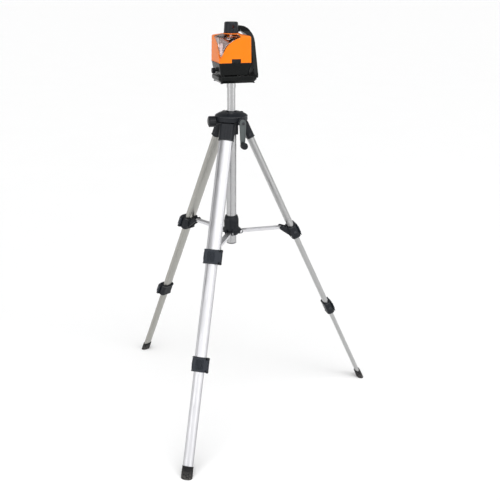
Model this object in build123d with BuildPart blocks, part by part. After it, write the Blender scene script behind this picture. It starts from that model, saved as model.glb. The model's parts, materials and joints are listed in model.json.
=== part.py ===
"""Rotating laser level on a three-section folding tripod.

Frame: +Z up, millimetres, floor at Z = 0, origin under the middle of the footprint.
The front leg points along -Y and the other two stand at 120 degrees from it.
"""
import os
from math import cos, pi, radians, sin, tan

from build123d import *

os.makedirs("parts", exist_ok=True)

# ---- tripod: driving dimensions ----
AXIS_Y = 90.464  # the column stands this far behind the middle of the footprint
LEGS = {"front": -90, "right": 30, "left": 150}  # azimuth of each leg
LEG_ANGLE = 25.13  # open leg, from the vertical
PIVOT_R = 25.0
PIVOT_Z = 732.3
PIN_R = 2.5
FIT = 0.06  # radial running clearance of shafts and pins
SEAT = 0.05  # clearance between pieces fixed to each other

UPPER_TUBE = (16.7, 8.25)  # half width and half thickness of each oval tube
MIDDLE_TUBE = (14.0, 6.65)
LOWER_TUBE = (12.1, 5.2)
TUBE_WALL = 1.1
SLIDE_GAP = 0.3
SOCKET_TOP = 9.0  # distances below the leg pivot, along the leg
SOCKET_END = 47.0
SOCKET_DEPTH = 18.2
UPPER_TUBE_TOP = 28.6
UPPER_LOCK = 298.5
MIDDLE_TUBE_TOP = 285.0
LOWER_LOCK = 541.5
LOWER_TUBE_TOP = 530.0
FOOT_TOP = 783.0
LOCK_LENGTH = 33.0
THROAT = 4.8  # thickness of a lock's lower collar lip and of its hinge ears
UPPER_COLLAR = (39.5, 21.5)  # width and depth of the leg locks
LOWER_COLLAR = (35.5, 18.6)
LEVER_GAP = 0.5  # between a closed lever and its collar
LEVER_THICK = 2.2
KNUCKLE_R = 3.2
LEVER_EAR_R = 3.4
LEVER_PIN_R = 1.6

COLUMN_R = 9.5
COLUMN_WALL = 1.2
COLUMN_BOTTOM = 500.0
NECK_R = 10.5  # head fitting round the top of the column
TRIPOD_SCREW_R = 3.1
COLUMN_TOP = 811.6
OUTER_TUBE_R = 11.85
OUTER_TUBE_BOTTOM = 430.6
OUTER_TUBE_TOP = 716.0
SHOULDER_TOP = 751.0
SHOULDER_UNDER = 740.7
SHOULDER_R = 38.0
CORE_R = 16.2
CORE_BOTTOM = 698.0
CORE_BORE_R = 11.0

TONGUE_HALF = 8.0
EAR_HALF = 13.0
EAR_GAP = 0.3

# rack and pinion that raise the column
CRANK_AZIMUTH = -58
CRANK_Z = 732.0
CRANK_OFFSET = 11.0
CRANK_ARM_START = 53.0
CRANK_ARM_THICK = 5.0
CRANK_LENGTH = 50.0
CRANK_BOSS_R = 8.5
CRANK_HUB_R = 7.8
CRANK_TIP_R = 5.2
CRANK_SHAFT_R = 2.5
CRANK_SHAFT_START = 8.2  # where the shaft steps down to its inner journal
JOURNAL_R = 1.8
JOURNAL_END = -9.0
GRIP_R = 7.5
GRIP_LENGTH = 15.5
GRIP_STUD_R = 2.0
GRIP_STUD_LENGTH = 12.3
MODULE = 1.0
PINION_TEETH = 8
PINION_PITCH_R = MODULE * PINION_TEETH / 2
PINION_HALF = 3.0
TOOTH_SHARE = 0.36  # tooth thickness as a share of the pitch, the rest is backlash
TOOTH_TIP = 0.75
TOOTH_ROOT = 1.05
TOOTH_EMBED = 0.3  # how far a tooth starts inside its root
FLANK = 20  # pressure angle
RACK_PITCH_LINE = CRANK_OFFSET - PINION_PITCH_R
RACK_HALF = 3.2
RACK_BOTTOM = 520.0
RACK_TOP = 792.0

LOCK_AZIMUTH = 210
LOCK_Z = 729.0
LOCK_STEM_R = 3.0
LOCK_BOSS_R = 7.0
LOCK_KNOB_START = 38.8  # distance of the knob's inner face from the column axis
LOCK_KNOB_LENGTH = 15.5
UPPER_BUSH = 738.5
LOCK_KNOB_R = 12.5

# brace: a hub on the outer tube and three struts
HUB_BOTTOM = 451.0
HUB_TOP = 498.0
BRACE_Z = 457.6
HUB_PIN_R = 22.0
HUB_EAR_THICK = 2.6
HUB_EAR_R = 4.8
STRUT_HALF = 6.5
STRUT_THICK = 6.0
STRUT_WALL = 1.2
BRACE_PIN_R = 2.0
LUG_OFFSET = 24.0  # brace lug, this far inward of the leg's centre line
LUG_GAP = 6.9
LUG_THICK = 3.0

# ---- laser: driving dimensions, heights are above its base ----
LASER_Z = 818.6
LASER_AZIMUTH = 32.8  # direction of the laser's right-hand side
BASE_HEIGHT = 16.0
BASE_SIZE = (90.0, 74.0)
BASE_SHIFT = 7.0
HOUSING_BOTTOM = 18.0
SEAM = 44.6
EAVES = 100.0
ROOF_EDGE = 102.3
ROOF_TOP = 106.0
FOOTPRINT_LOW = (66.0, 64.0)
FOOTPRINT_SEAM = (75.4, 72.4)
FOOTPRINT_EAVES = (73.8, 70.8)
FOOTPRINT_EDGE = (69.8, 66.8)
FOOTPRINT_TOP = (38.0, 38.0)
HOUSING_WALL = 2.2
ROTOR_R = 16.7
ROTOR_BOTTOM = 107.6
ROTOR_TOP = 131.6
SHAFT_R = 5.0
APERTURE_HEIGHT = 121.5
MOTOR_HEIGHT = 80.1
MOTOR_R = 13.5
MOTOR_LENGTH = 15.0
VIAL_PLACE = (-22.0, -21.0)
VIAL_R = 4.2
DISC_R = 20.0
SWITCH_X = 1.2
SIDE_KNOB = (8.0, 25.0)  # how far back and how high the lock knob sits on the left side
SIDE_KNOB_R = 6.0
SIDE_STEM_R = 2.0
DOOR_SIZE = (46.0, 16.5)
DOOR_HEIGHT = 31.5
DOOR_HINGE = (32.8, 23.25)  # back and height of the hinge barrel
DOOR_BARREL_R = 1.3
DOOR_BARREL = 20.0
SWITCH_SIZE = (12.0, 7.6)
BATTERY_R = 7.1


# ---- planes and points ----
def point(azimuth, radius, height):
    """Point at an azimuth and a radius about the column."""
    turn = radians(azimuth)
    return Vector(radius * cos(turn), AXIS_Y + radius * sin(turn), height)


def level(height, azimuth=0.0):
    """Horizontal plane on the column axis, X along the azimuth."""
    turn = radians(azimuth)
    return Plane(origin=(0, AXIS_Y, height), x_dir=(cos(turn), sin(turn), 0), z_dir=(0, 0, 1))


def upright(azimuth, sideways=0.0):
    """Vertical plane through the column axis: X outward, Y is the height, normal clockwise."""
    turn = radians(azimuth)
    normal = (sin(turn), -cos(turn), 0)
    return Plane(origin=(0, AXIS_Y, 0), x_dir=(cos(turn), sin(turn), 0), z_dir=normal).offset(sideways)


def facing(azimuth, height, radius):
    """Vertical plane facing outward at a radius: X counter-clockwise, Y up."""
    turn = radians(azimuth)
    x_dir = (-sin(turn), cos(turn), 0)
    return Plane(origin=point(azimuth, radius, height), x_dir=x_dir, z_dir=(cos(turn), sin(turn), 0))


def across_leg(azimuth, along=0.0):
    """Cross-section plane of a leg: X sideways, Y away from the column, normal down the leg."""
    turn = radians(azimuth)
    lean = radians(LEG_ANGLE)
    down = (cos(turn) * sin(lean), sin(turn) * sin(lean), -cos(lean))
    origin = point(azimuth, PIVOT_R, PIVOT_Z)
    return Plane(origin=origin, x_dir=(-sin(turn), cos(turn), 0), z_dir=down).offset(along)


def beside_leg(azimuth, sideways=0.0):
    """Lengthwise plane of a leg: X away from the column, Y down the leg, normal sideways."""
    section = across_leg(azimuth)
    return Plane(origin=section.origin, x_dir=section.y_dir, z_dir=section.x_dir).offset(sideways)


def laser_level(height):
    """Horizontal plane of the laser: X to its right, Y to its back."""
    return level(LASER_Z + height, LASER_AZIMUTH)


def laser_front(forward):
    """Plane parallel to the laser's front: X right, Y up, normal forward."""
    flat = upright(LASER_AZIMUTH, forward)
    return Plane(origin=flat.origin + Vector(0, 0, LASER_Z), x_dir=flat.x_dir, z_dir=flat.z_dir)


def laser_side(right):
    """Plane parallel to the laser's sides: X back, Y up, normal right."""
    return facing(LASER_AZIMUTH, LASER_Z, right)


COLUMN_AXIS = Axis((0, AXIS_Y, 0), (0, 0, 1))


def save(piece, name):
    """Label a piece and write it as its own STEP file."""
    piece.part.label = name
    export_step(piece.part, f"parts/{name}.step")


def ring(plane, outer, inner, length, mode=Mode.ADD):
    """Round tube in the part being built."""
    with BuildSketch(plane) as profile:
        Circle(outer)
        Circle(inner, mode=Mode.SUBTRACT)
    extrude(profile.sketch, amount=length, mode=mode)


def disc(plane, radius, length, centre=(0, 0), mode=Mode.ADD):
    """Round bar or round hole in the part being built."""
    with BuildSketch(plane) as profile:
        with Locations(centre):
            Circle(radius)
    extrude(profile.sketch, amount=length, mode=mode)


def block(plane, size, length, centre=(0, 0), mode=Mode.ADD):
    """Rectangular bar or pocket in the part being built."""
    with BuildSketch(plane) as profile:
        with Locations(centre):
            Rectangle(*size)
    extrude(profile.sketch, amount=length, mode=mode)


def outline(plane, points, length, mode=Mode.ADD):
    """Straight-sided bar or pocket in the part being built."""
    with BuildSketch(plane) as profile:
        with BuildLine():
            Polyline(*points, close=True)
        make_face()
    extrude(profile.sketch, amount=length, mode=mode)


# ---- shoulder, column guide and outer tube ----
with BuildPart() as shoulder:
    with BuildSketch(upright(0)):
        with BuildLine():
            Line((0, SHOULDER_TOP), (13.5, SHOULDER_TOP))
            ThreePointArc((13.5, SHOULDER_TOP), (27, 748.6), (SHOULDER_R - 1.5, 743.5))
            ThreePointArc((SHOULDER_R - 1.5, 743.5), (SHOULDER_R - 0.3, 742.6), (SHOULDER_R, 741))
            Line((SHOULDER_R, 741), (SHOULDER_R, 731))
            Line((SHOULDER_R, 731), (SHOULDER_R - 2.4, 731))
            Line((SHOULDER_R - 2.4, 731), (SHOULDER_R - 2.4, SHOULDER_UNDER))
            Line((SHOULDER_R - 2.4, SHOULDER_UNDER), (CORE_R, SHOULDER_UNDER))
            Line((CORE_R, SHOULDER_UNDER), (CORE_R, CORE_BOTTOM))
            Line((CORE_R, CORE_BOTTOM), (0, CORE_BOTTOM))
            Line((0, CORE_BOTTOM), (0, SHOULDER_TOP))
        make_face()
    revolve(axis=COLUMN_AXIS)
    # two ears for each leg, with the pin hole through both
    ear_inner = TONGUE_HALF + EAR_GAP
    for azimuth in LEGS.values():
        for side in (ear_inner, -EAR_HALF):
            ear = [(14, 741), (34.5, 741), (34.5, 730.5), (30.5, 727.2), (22, 726), (14, 726)]
            outline(upright(azimuth, side), ear, EAR_HALF - ear_inner)
    # crank boss and lock boss
    disc(facing(CRANK_AZIMUTH, CRANK_Z, CRANK_SHAFT_START - 0.2), CRANK_SHAFT_R + 1.9, 20, (CRANK_OFFSET, 0))
    boss_start = 26
    boss_length = CRANK_ARM_START - boss_start - 0.6
    disc(facing(CRANK_AZIMUTH, CRANK_Z, boss_start), CRANK_BOSS_R, boss_length, (CRANK_OFFSET, 0))
    disc(facing(LOCK_AZIMUTH, LOCK_Z, 10), LOCK_BOSS_R, LOCK_KNOB_START - 10.4)
    # bores
    disc(level(CORE_BOTTOM - 1), CORE_BORE_R, 60, mode=Mode.SUBTRACT)
    disc(level(CORE_BOTTOM - 1), OUTER_TUBE_R + SEAT, OUTER_TUBE_TOP - CORE_BOTTOM + 1, mode=Mode.SUBTRACT)
    disc(facing(CRANK_AZIMUTH, CRANK_Z, -4), 5.2, 8, (CRANK_OFFSET, 0), Mode.SUBTRACT)
    disc(facing(CRANK_AZIMUTH, CRANK_Z, JOURNAL_END - 0.5), JOURNAL_R + FIT, 18, (CRANK_OFFSET, 0),
         Mode.SUBTRACT)
    disc(facing(CRANK_AZIMUTH, CRANK_Z, CRANK_SHAFT_START - 0.2), CRANK_SHAFT_R + FIT, 50,
         (CRANK_OFFSET, 0), Mode.SUBTRACT)
    disc(facing(LOCK_AZIMUTH, LOCK_Z, 5), LOCK_STEM_R + FIT, 40, mode=Mode.SUBTRACT)
    for azimuth in LEGS.values():
        disc(facing(azimuth + 90, PIVOT_Z, -EAR_HALF - 1), PIN_R + SEAT, 2 * EAR_HALF + 2,
             (-PIVOT_R, 0), Mode.SUBTRACT)
save(shoulder, "shoulder")

with BuildPart() as leg_pivot_pins:
    for azimuth in LEGS.values():
        disc(facing(azimuth + 90, PIVOT_Z, -EAR_HALF), PIN_R, 2 * EAR_HALF, (-PIVOT_R, 0))
save(leg_pivot_pins, "leg_pivot_pins")

with BuildPart() as column_bushes:
    ring(level(UPPER_BUSH), CORE_BORE_R - SEAT, COLUMN_R + FIT, SHOULDER_TOP - UPPER_BUSH)
    ring(level(SHOULDER_TOP), 12.6, COLUMN_R + FIT, 1.6)
    ring(level(690), OUTER_TUBE_R - TUBE_WALL - SEAT, COLUMN_R + FIT, OUTER_TUBE_TOP - 690)
save(column_bushes, "column_bushes")

with BuildPart() as outer_tube:
    ring(level(OUTER_TUBE_BOTTOM), OUTER_TUBE_R, OUTER_TUBE_R - TUBE_WALL,
         OUTER_TUBE_TOP - OUTER_TUBE_BOTTOM)
save(outer_tube, "outer_tube")

with BuildPart() as tube_end_plug:
    ring(level(OUTER_TUBE_BOTTOM), OUTER_TUBE_R - TUBE_WALL - SEAT, 7, 14)
    ring(level(OUTER_TUBE_BOTTOM - 2.5), OUTER_TUBE_R, 7, 2.5)
    chamfer(tube_end_plug.edges().group_by(Axis.Z)[0], 0.8)
save(tube_end_plug, "tube_end_plug")


# ---- crank with pinion ----
def pinion_face():
    """Pinion outline: straight-flanked teeth round a root circle."""
    Circle(PINION_PITCH_R - TOOTH_ROOT)
    half = TOOTH_SHARE * pi * MODULE / 2
    slope = tan(radians(FLANK))
    with PolarLocations(0, PINION_TEETH):
        tip_x = PINION_PITCH_R + TOOTH_TIP
        root_x = PINION_PITCH_R - TOOTH_ROOT - TOOTH_EMBED
        tip_half = half - TOOTH_TIP * slope
        root_half = half + 0.15
        Polygon((root_x, -root_half), (PINION_PITCH_R, -half), (tip_x, -tip_half),
                (tip_x, tip_half), (PINION_PITCH_R, half), (root_x, root_half), align=None)


with BuildPart() as crank_shaft:
    disc(facing(CRANK_AZIMUTH, CRANK_Z, JOURNAL_END), JOURNAL_R, CRANK_SHAFT_START - JOURNAL_END,
         (CRANK_OFFSET, 0))
    disc(facing(CRANK_AZIMUTH, CRANK_Z, CRANK_SHAFT_START), CRANK_SHAFT_R,
         CRANK_ARM_START + CRANK_ARM_THICK - 0.2 - CRANK_SHAFT_START, (CRANK_OFFSET, 0))
    with BuildSketch(facing(CRANK_AZIMUTH, CRANK_Z, -PINION_HALF)):
        with Locations((CRANK_OFFSET, 0)):
            pinion_face()
    extrude(amount=2 * PINION_HALF)
save(crank_shaft, "crank_shaft")

with BuildPart() as crank_arm:
    arm_end = CRANK_ARM_START + CRANK_ARM_THICK
    arm_plane = facing(CRANK_AZIMUTH, CRANK_Z, CRANK_ARM_START)
    disc(arm_plane, CRANK_HUB_R, CRANK_ARM_THICK, (CRANK_OFFSET, 0))
    broad = CRANK_HUB_R - 1.6
    outline(arm_plane, [(CRANK_OFFSET - broad, 0), (CRANK_OFFSET + broad, 0),
                        (CRANK_OFFSET + CRANK_TIP_R, -CRANK_LENGTH),
                        (CRANK_OFFSET - CRANK_TIP_R, -CRANK_LENGTH)], CRANK_ARM_THICK)
    disc(arm_plane, CRANK_TIP_R, CRANK_ARM_THICK, (CRANK_OFFSET, -CRANK_LENGTH))
    fillet(crank_arm.faces().sort_by(Axis((0, 0, 0), arm_plane.z_dir))[-1].outer_wire().edges(), 0.9)
    disc(facing(CRANK_AZIMUTH, CRANK_Z, arm_end), 4.2, 1.4, (CRANK_OFFSET, 0))
    disc(facing(CRANK_AZIMUTH, CRANK_Z, arm_end), GRIP_STUD_R, GRIP_STUD_LENGTH, (CRANK_OFFSET, -CRANK_LENGTH))
    disc(arm_plane, CRANK_SHAFT_R + SEAT, CRANK_ARM_THICK - 0.1, (CRANK_OFFSET, 0), Mode.SUBTRACT)
save(crank_arm, "crank_arm")

with BuildPart() as crank_grip:
    grip_plane = facing(CRANK_AZIMUTH, CRANK_Z, arm_end + 0.4)
    disc(grip_plane, GRIP_R, GRIP_LENGTH, (CRANK_OFFSET, -CRANK_LENGTH))
    fillet(crank_grip.edges().filter_by(GeomType.CIRCLE), 1.8)
    disc(grip_plane, GRIP_STUD_R + FIT, GRIP_STUD_LENGTH, (CRANK_OFFSET, -CRANK_LENGTH), Mode.SUBTRACT)
save(crank_grip, "crank_grip")

# ---- column lock knob ----
with BuildPart() as column_lock_knob:
    with BuildSketch(facing(LOCK_AZIMUTH, LOCK_Z, LOCK_KNOB_START)):
        Circle(LOCK_KNOB_R)
        with PolarLocations(LOCK_KNOB_R + 0.7, 10):
            Circle(1.9, mode=Mode.SUBTRACT)
    extrude(amount=LOCK_KNOB_LENGTH)
    knob_axis = Axis((0, 0, 0), facing(LOCK_AZIMUTH, 0, 0).z_dir)
    chamfer(column_lock_knob.edges().group_by(knob_axis)[-1], 1.4)
    stem_start = COLUMN_R + 0.35
    disc(facing(LOCK_AZIMUTH, LOCK_Z, stem_start), LOCK_STEM_R, LOCK_KNOB_START - stem_start + 0.5)
save(column_lock_knob, "column_lock_knob")

# ---- sliding column, rack, head ----
RACK_AZIMUTH = CRANK_AZIMUTH + 90
with BuildPart() as column_tube:
    ring(level(COLUMN_BOTTOM), COLUMN_R, COLUMN_R - COLUMN_WALL, COLUMN_TOP - COLUMN_BOTTOM)
    slot_height = RACK_TOP - RACK_BOTTOM + 1
    block(level(RACK_BOTTOM - 0.5, RACK_AZIMUTH), (6, 2 * RACK_HALF + 0.6), slot_height,
          (COLUMN_R, 0), Mode.SUBTRACT)
save(column_tube, "column_tube")

with BuildPart() as column_rack:
    pitch = pi * MODULE
    teeth = int((RACK_TOP - RACK_BOTTOM) / pitch) - 1
    half_tooth = TOOTH_SHARE * pitch / 2
    spread = tan(radians(FLANK))
    block(level(RACK_BOTTOM, RACK_AZIMUTH), (3, 2 * RACK_HALF), RACK_TOP - RACK_BOTTOM,
          (RACK_PITCH_LINE - TOOTH_ROOT - 1.5, 0))
    # a rack space faces the crank axis at rest, where the pinion has a tooth
    first_below = int((CRANK_Z - RACK_BOTTOM - 2) / pitch - 0.5)
    with BuildSketch(upright(RACK_AZIMUTH, -RACK_HALF)):
        for count in range(teeth):
            centre = CRANK_Z + (count - first_below + 0.5) * pitch
            if centre < RACK_TOP - 2:
                root = RACK_PITCH_LINE - TOOTH_ROOT - 0.2
                tip = RACK_PITCH_LINE + TOOTH_TIP
                tip_half = half_tooth - TOOTH_TIP * spread
                root_half = half_tooth + TOOTH_ROOT * spread
                with Locations((0, centre)):
                    Polygon((root, -root_half), (tip, -tip_half), (tip, tip_half), (root, root_half),
                            align=None)
    extrude(amount=2 * RACK_HALF)
save(column_rack, "column_rack")

with BuildPart() as head_platform:
    disc(level(COLUMN_TOP - 16), COLUMN_R - COLUMN_WALL - SEAT, 16)
    ring(level(COLUMN_TOP - 6.5), NECK_R, COLUMN_R + SEAT, 6.5)
    disc(level(COLUMN_TOP), NECK_R, 7)
    disc(level(LASER_Z - 0.2), DISC_R, 4)
    fillet(head_platform.edges().group_by(Axis.Z)[-1], 0.6)
    disc(level(COLUMN_TOP - 17), TRIPOD_SCREW_R + SEAT, 40, mode=Mode.SUBTRACT)
save(head_platform, "head_platform")

with BuildPart() as tripod_screw:
    disc(level(LASER_Z - 19), TRIPOD_SCREW_R, 32)
    chamfer(tripod_screw.edges().group_by(Axis.Z)[-1], 0.6)
save(tripod_screw, "tripod_screw")

# ---- brace hub, pins and struts ----
with BuildPart() as brace_hub:
    with BuildSketch(upright(0)):
        with BuildLine():
            Polyline((OUTER_TUBE_R + FIT, HUB_BOTTOM), (15.6, HUB_BOTTOM), (17.4, HUB_BOTTOM + 4),
                     (17.8, HUB_BOTTOM + 14), (17.4, HUB_TOP - 9), (16.6, HUB_TOP - 4),
                     (14.6, HUB_TOP), (OUTER_TUBE_R + FIT, HUB_TOP), close=True)
        make_face()
    revolve(axis=COLUMN_AXIS)
    for azimuth in LEGS.values():
        for side in (LUG_GAP, -LUG_GAP - HUB_EAR_THICK):
            with BuildSketch(upright(azimuth, side)):
                with Locations((HUB_PIN_R, BRACE_Z)):
                    Circle(HUB_EAR_R)
                with Locations(((HUB_PIN_R + 14) / 2, BRACE_Z + 1.2)):
                    Rectangle(HUB_PIN_R - 14, 12)
            extrude(amount=HUB_EAR_THICK)
        disc(facing(azimuth + 90, BRACE_Z, -10), BRACE_PIN_R + SEAT, 20, (-HUB_PIN_R, 0), Mode.SUBTRACT)
    disc(level(HUB_BOTTOM - 1), OUTER_TUBE_R + FIT, HUB_TOP - HUB_BOTTOM + 2, mode=Mode.SUBTRACT)
save(brace_hub, "brace_hub")

with BuildPart() as hub_pins:
    for azimuth in LEGS.values():
        reach = LUG_GAP + HUB_EAR_THICK
        disc(facing(azimuth + 90, BRACE_Z, -reach), BRACE_PIN_R, 2 * reach, (-HUB_PIN_R, 0))
save(hub_pins, "hub_pins")


def lug_along():
    """How far down the leg the brace lug sits, so that the open strut is level."""
    lean = radians(LEG_ANGLE)
    return (PIVOT_Z - BRACE_Z - LUG_OFFSET * sin(lean)) / cos(lean)


def strut_reach():
    """Radius of the brace lug about the column when the legs are open."""
    lean = radians(LEG_ANGLE)
    return PIVOT_R + lug_along() * sin(lean) - LUG_OFFSET * cos(lean)


for name, azimuth in LEGS.items():
    with BuildPart() as strut:
        length = strut_reach() - HUB_PIN_R
        with BuildSketch(upright(azimuth, -STRUT_HALF)):
            with Locations((HUB_PIN_R + length / 2, BRACE_Z)):
                SlotCenterToCenter(length, STRUT_THICK)
        extrude(amount=2 * STRUT_HALF)
        # hollow underneath: a channel with its flat side up
        channel = (length - 12, STRUT_THICK - STRUT_WALL)
        block(upright(azimuth, -STRUT_HALF + STRUT_WALL), channel, 2 * (STRUT_HALF - STRUT_WALL),
              (HUB_PIN_R + length / 2, BRACE_Z - STRUT_WALL / 2 - 0.01), Mode.SUBTRACT)
        for radius in (HUB_PIN_R, strut_reach()):
            disc(facing(azimuth + 90, BRACE_Z, -10), BRACE_PIN_R + FIT, 20, (-radius, 0), Mode.SUBTRACT)
    save(strut, f"brace_strut_{name}")


# ---- legs ----
def oval_tube(azimuth, start, end, size):
    """Oval leg tube between two distances down the leg."""
    with BuildSketch(across_leg(azimuth, start)) as profile:
        Ellipse(*size)
        Ellipse(size[0] - TUBE_WALL, size[1] - TUBE_WALL, mode=Mode.SUBTRACT)
    extrude(profile.sketch, amount=end - start)


def oval_pocket(azimuth, start, end, size, gap):
    """Oval hole for a tube."""
    with BuildSketch(across_leg(azimuth, start)) as profile:
        Ellipse(size[0] + gap, size[1] + gap)
    extrude(profile.sketch, amount=end - start, mode=Mode.SUBTRACT)


def hinge_point(width, depth):
    """Where a lock's lever hinge sits on its collar."""
    return (width / 2 + 2.4, depth / 2 - 2.4)


def lock_collar(azimuth, start, width, depth, outer, inner):
    """Collar of a leg lock: seat for the outer tube, throat for the inner one, hinge ears."""
    hinge = hinge_point(width, depth)
    with BuildSketch(across_leg(azimuth, start)) as body:
        RectangleRounded(width, depth, 8)
    extrude(body.sketch, amount=LOCK_LENGTH)
    for ear_start in (start, start + LOCK_LENGTH - THROAT):
        with BuildSketch(across_leg(azimuth, ear_start)) as ears:
            with Locations(hinge):
                Circle(LEVER_EAR_R)
            with Locations((hinge[0] - 4, hinge[1] - 2.4)):
                Rectangle(8, 4.8)
        extrude(ears.sketch, amount=THROAT)
    oval_pocket(azimuth, start - 1, start + LOCK_LENGTH - THROAT, outer, SEAT)
    oval_pocket(azimuth, start, start + LOCK_LENGTH + 1, inner, SLIDE_GAP)
    disc(across_leg(azimuth, start - 1), LEVER_PIN_R + FIT, LOCK_LENGTH + 2, hinge, Mode.SUBTRACT)


def lock_lever(azimuth, start, width, depth):
    """Flip lever over the outward side of a collar, with moulded pivot stubs."""
    hinge = hinge_point(width, depth)
    face = depth / 2 + LEVER_GAP
    left = -width / 2 + 3
    right = hinge[0] - 4
    with BuildSketch(across_leg(azimuth, start + 1)) as plate:
        with Locations(((left + right) / 2, face + LEVER_THICK / 2)):
            RectangleRounded(right - left, LEVER_THICK, 1)
    extrude(plate.sketch, amount=LOCK_LENGTH - 2)
    with BuildSketch(across_leg(azimuth, start + THROAT + 0.3)) as knuckle:
        with Locations(hinge):
            Circle(KNUCKLE_R)
        with Locations((hinge[0] - 3, face + LEVER_THICK / 2)):
            Rectangle(6, LEVER_THICK)
        with Locations((hinge[0] - 0.8, (hinge[1] + face + LEVER_THICK) / 2)):
            Rectangle(4.6, face + LEVER_THICK - hinge[1])
    extrude(knuckle.sketch, amount=LOCK_LENGTH - 2 * THROAT - 0.6)
    # finger lip at the free end
    with BuildSketch(across_leg(azimuth, start + 8)) as lip:
        with Locations((left + 1, face + 1.9)):
            RectangleRounded(3, 2.8, 0.9)
    extrude(lip.sketch, amount=LOCK_LENGTH - 16)
    disc(across_leg(azimuth, start + 0.6), LEVER_PIN_R, LOCK_LENGTH - 1.2, hinge)


def brace_lug(azimuth):
    """Two ears on the inward side of the upper collar, with a slot for the strut's end."""
    along = lug_along()
    face = -UPPER_COLLAR[1] / 2
    block(across_leg(azimuth, UPPER_LOCK - 1), (2 * LUG_GAP, 6), LOCK_LENGTH + 2,
          (0, face - 0.65), Mode.SUBTRACT)
    for side in (LUG_GAP, -LUG_GAP - LUG_THICK):
        with BuildSketch(beside_leg(azimuth, side)) as lug:
            with BuildLine():
                Polyline((-LUG_OFFSET - 3, along - 4.4), (-LUG_OFFSET + 3, along - 4.4),
                         (face + 1.5, UPPER_LOCK + 0.5), (face + 1.5, UPPER_LOCK + 24),
                         (face - 2, UPPER_LOCK + 24), (-LUG_OFFSET - 4.4, along + 2.5), close=True)
            make_face()
            with Locations((-LUG_OFFSET, along)):
                Circle(5.3)
        extrude(lug.sketch, amount=LUG_THICK)
    # rivet heads on the outer faces of the ears
    for side in (LUG_GAP + LUG_THICK, -LUG_GAP - LUG_THICK - 1):
        disc(beside_leg(azimuth, side), 2.6, 1, (-LUG_OFFSET, along))


for name, azimuth in LEGS.items():
    with BuildPart() as leg_socket:
        with BuildSketch(beside_leg(azimuth, -TONGUE_HALF)):
            Circle(6.5)
            with Locations((-0.75, 6)):
                Rectangle(11.5, 12)
        extrude(amount=2 * TONGUE_HALF)
        with BuildSketch(across_leg(azimuth, SOCKET_TOP)):
            RectangleRounded(35.6, SOCKET_DEPTH, 7)
        with BuildSketch(across_leg(azimuth, SOCKET_END)):
            RectangleRounded(35, SOCKET_DEPTH, 7)
        loft()
        for groove in (-10.5, -3.5, 3.5, 10.5):
            block(across_leg(azimuth, SOCKET_TOP + 6), (1.6, 1), SOCKET_END - SOCKET_TOP - 12,
                  (groove, SOCKET_DEPTH / 2), Mode.SUBTRACT)
        oval_pocket(azimuth, UPPER_TUBE_TOP - 0.1, SOCKET_END + 1, UPPER_TUBE, SEAT)
        disc(beside_leg(azimuth, -TONGUE_HALF - 1), PIN_R + FIT, 2 * TONGUE_HALF + 2,
             mode=Mode.SUBTRACT)
    save(leg_socket, f"leg_socket_{name}")

    with BuildPart() as upper_tube:
        oval_tube(azimuth, UPPER_TUBE_TOP, UPPER_LOCK + LOCK_LENGTH - THROAT - 0.1, UPPER_TUBE)
    save(upper_tube, f"upper_tube_{name}")

    with BuildPart() as upper_lock_collar:
        lock_collar(azimuth, UPPER_LOCK, *UPPER_COLLAR, UPPER_TUBE, MIDDLE_TUBE)
        brace_lug(azimuth)
    save(upper_lock_collar, f"upper_lock_collar_{name}")

    with BuildPart() as upper_lock_lever:
        lock_lever(azimuth, UPPER_LOCK, *UPPER_COLLAR)
    save(upper_lock_lever, f"upper_lock_lever_{name}")

    with BuildPart() as middle_tube:
        oval_tube(azimuth, MIDDLE_TUBE_TOP, LOWER_LOCK + LOCK_LENGTH - THROAT - 0.1, MIDDLE_TUBE)
    save(middle_tube, f"middle_tube_{name}")

    with BuildPart() as lower_lock_collar:
        lock_collar(azimuth, LOWER_LOCK, *LOWER_COLLAR, MIDDLE_TUBE, LOWER_TUBE)
    save(lower_lock_collar, f"lower_lock_collar_{name}")

    with BuildPart() as lower_lock_lever:
        lock_lever(azimuth, LOWER_LOCK, *LOWER_COLLAR)
    save(lower_lock_lever, f"lower_lock_lever_{name}")

    with BuildPart() as lower_tube:
        oval_tube(azimuth, LOWER_TUBE_TOP, FOOT_TOP + 11.9, LOWER_TUBE)
    save(lower_tube, f"lower_tube_{name}")

    with BuildPart() as foot:
        with BuildSketch(across_leg(azimuth, FOOT_TOP)):
            Ellipse(13.2, 7.6)
        with BuildSketch(across_leg(azimuth, FOOT_TOP + 40)):
            Ellipse(13.8, 9.6)
        loft()
        split(bisect_by=Plane.XY, keep=Keep.TOP)
        fillet(foot.edges().group_by(Axis.Z)[0], 1.6)
        oval_pocket(azimuth, FOOT_TOP - 1, FOOT_TOP + 12, LOWER_TUBE, SEAT)
    save(foot, f"foot_{name}")


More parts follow.
